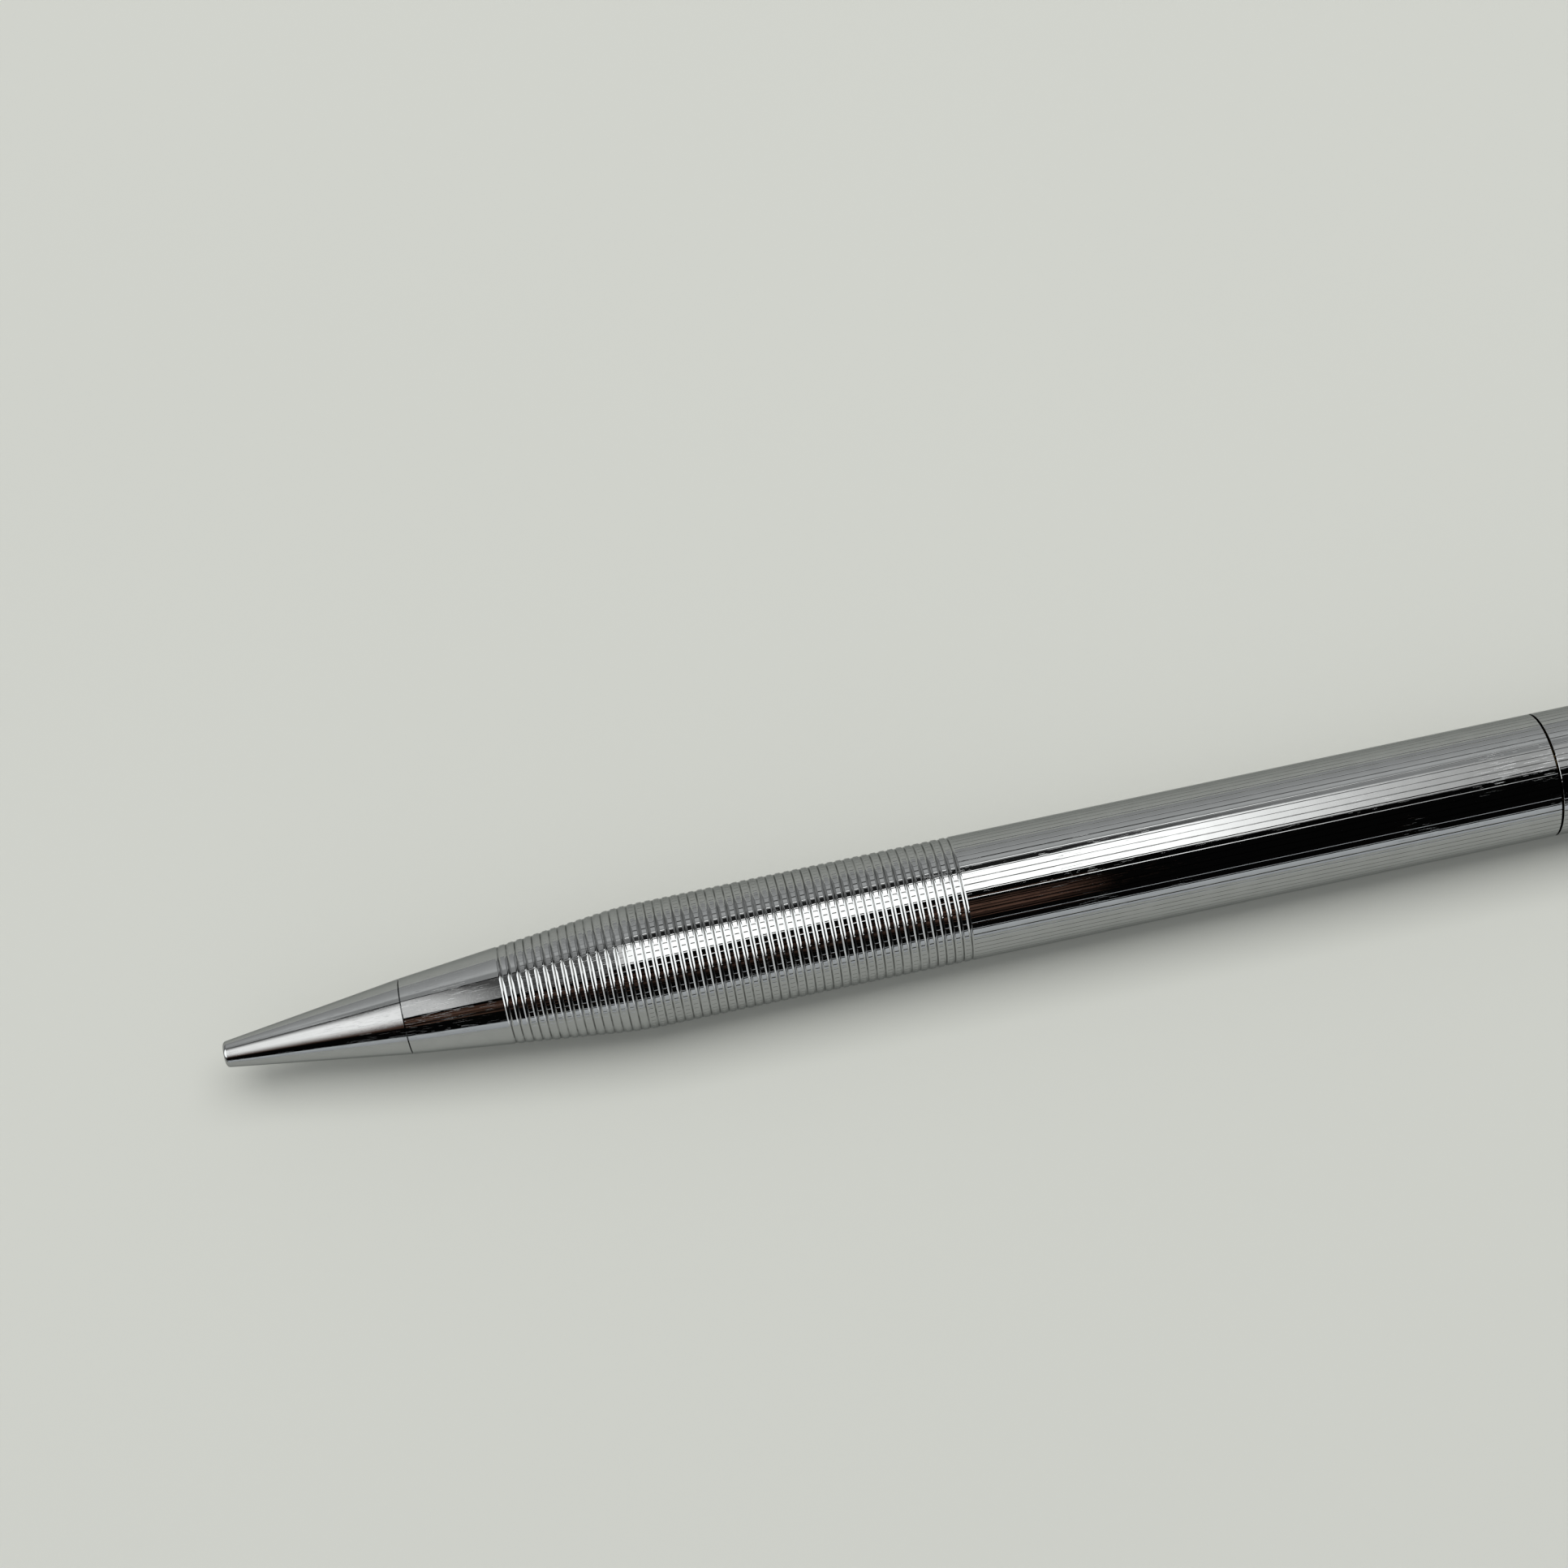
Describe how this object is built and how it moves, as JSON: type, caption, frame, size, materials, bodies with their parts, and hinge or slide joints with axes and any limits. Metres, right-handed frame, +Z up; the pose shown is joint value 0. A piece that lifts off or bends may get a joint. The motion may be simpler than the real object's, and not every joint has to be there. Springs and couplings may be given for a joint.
{
  "type": "mechanical pencil",
  "caption": "Slim chromed mechanical pencil with a conical nose, a fine ring-grooved grip, a twisting upper barrel, a pocket clip and a push button.",
  "frame": {"origin": "centre of the foot of the object's box; the pencil lies on its side on the plane z = 0, on its barrel and its clip's shoulder", "axes": "+X along the barrel from the writing tip to the button; +Z up from the table; the clip is low on the -Y side"},
  "size_m": [0.1414, 0.0106, 0.008],
  "materials": {
    "chrome_barrel": "polished chrome plate with fine wear scratches",
    "chrome_upper": "polished chrome plate with fine wear scratches",
    "chrome_collar": "polished chrome plate",
    "chrome_button": "polished chrome plate",
    "chrome_clip": "polished chrome plate on spring steel",
    "guide_brass": "turned brass, unplated",
    "clutch_brass": "turned brass, unplated",
    "ferrule_brass": "drawn brass, light polish",
    "spring_steel": "drawn steel",
    "pipe_steel": "drawn stainless steel",
    "guide_plastic": "natural acetal",
    "tube_plastic": "moulded, translucent white",
    "reservoir_plastic": "moulded black",
    "seal_rubber": "soft black rubber",
    "eraser_rubber": "white vinyl eraser",
    "graphite": "polished graphite lead"
  },
  "bodies": {
    "barrel": {"nose_cone": "chrome_barrel", "barrel_shell": "chrome_barrel", "front_guide_bush": "guide_plastic", "guide_sleeve": "guide_brass", "friction_ring": "seal_rubber", "thrust_washer": "spring_steel", "retaining_ring": "spring_steel"},
    "upper_barrel": {"upper_shell": "chrome_upper", "cam_sleeve": "guide_brass", "top_bushing": "chrome_collar"},
    "clip": {"clip": "chrome_clip"},
    "cartridge": {"lead_sleeve": "pipe_steel", "sleeve_holder": "clutch_brass", "lead_retainer": "seal_rubber", "spring_seat": "spring_steel", "chuck_spring": "spring_steel", "cartridge_tube": "tube_plastic", "drive_collar": "clutch_brass", "drive_lug": "pipe_steel", "cartridge_end_cap": "guide_plastic"},
    "pusher": {"chuck": "clutch_brass", "lead_reservoir": "reservoir_plastic", "eraser_ferrule": "ferrule_brass", "eraser": "eraser_rubber", "spare_leads": "graphite"},
    "chuck_ring": {"chuck_ring": "clutch_brass"},
    "lead": {"loaded_lead": "graphite"},
    "button": {"button_cap": "chrome_button", "button_insert": "reservoir_plastic"}
  },
  "joints": [
    {"name": "twist", "type": "hinge", "parent": "barrel", "child": "upper_barrel", "pos_m": [0.01525, 0.00128, 0.004], "axis": [-1, 0, 0], "range_deg": [0, 180]},
    {"name": "cartridge_slide", "type": "slide", "parent": "barrel", "child": "cartridge", "axis": [-1, 0, 0], "range_m": [0, 0.005]},
    {"name": "push", "type": "slide", "parent": "cartridge", "child": "pusher", "axis": [-1, 0, 0], "range_m": [0, 0.0027], "stiffness_N_per_m": 600, "springref_m": -0.002, "deforming": ["chuck_spring"]},
    {"name": "ring_slide", "type": "slide", "parent": "cartridge", "child": "chuck_ring", "axis": [-1, 0, 0], "range_m": [0, 0.0009]},
    {"name": "lead_feed", "type": "slide", "parent": "cartridge", "child": "lead", "axis": [-1, 0, 0], "range_m": [0, 0.008]},
    {"name": "button_pull", "type": "slide", "parent": "pusher", "child": "button", "axis": [1, 0, 0], "range_m": [0, 0.022]},
    {"name": "clip_flex", "type": "hinge", "parent": "upper_barrel", "child": "clip", "pos_m": [0.05645, -0.00217, 0.00253], "axis": [0, -0.3914, 0.9202], "range_deg": [0, 4], "stiffness_Nm_per_rad": 4.5}
  ],
  "couplings": [
    {"joint": "twist", "follows": "cartridge_slide", "rad_per_m": 628.31},
    {"joint": "ring_slide", "follows": "push", "ratio": 0.3333}
  ]
}
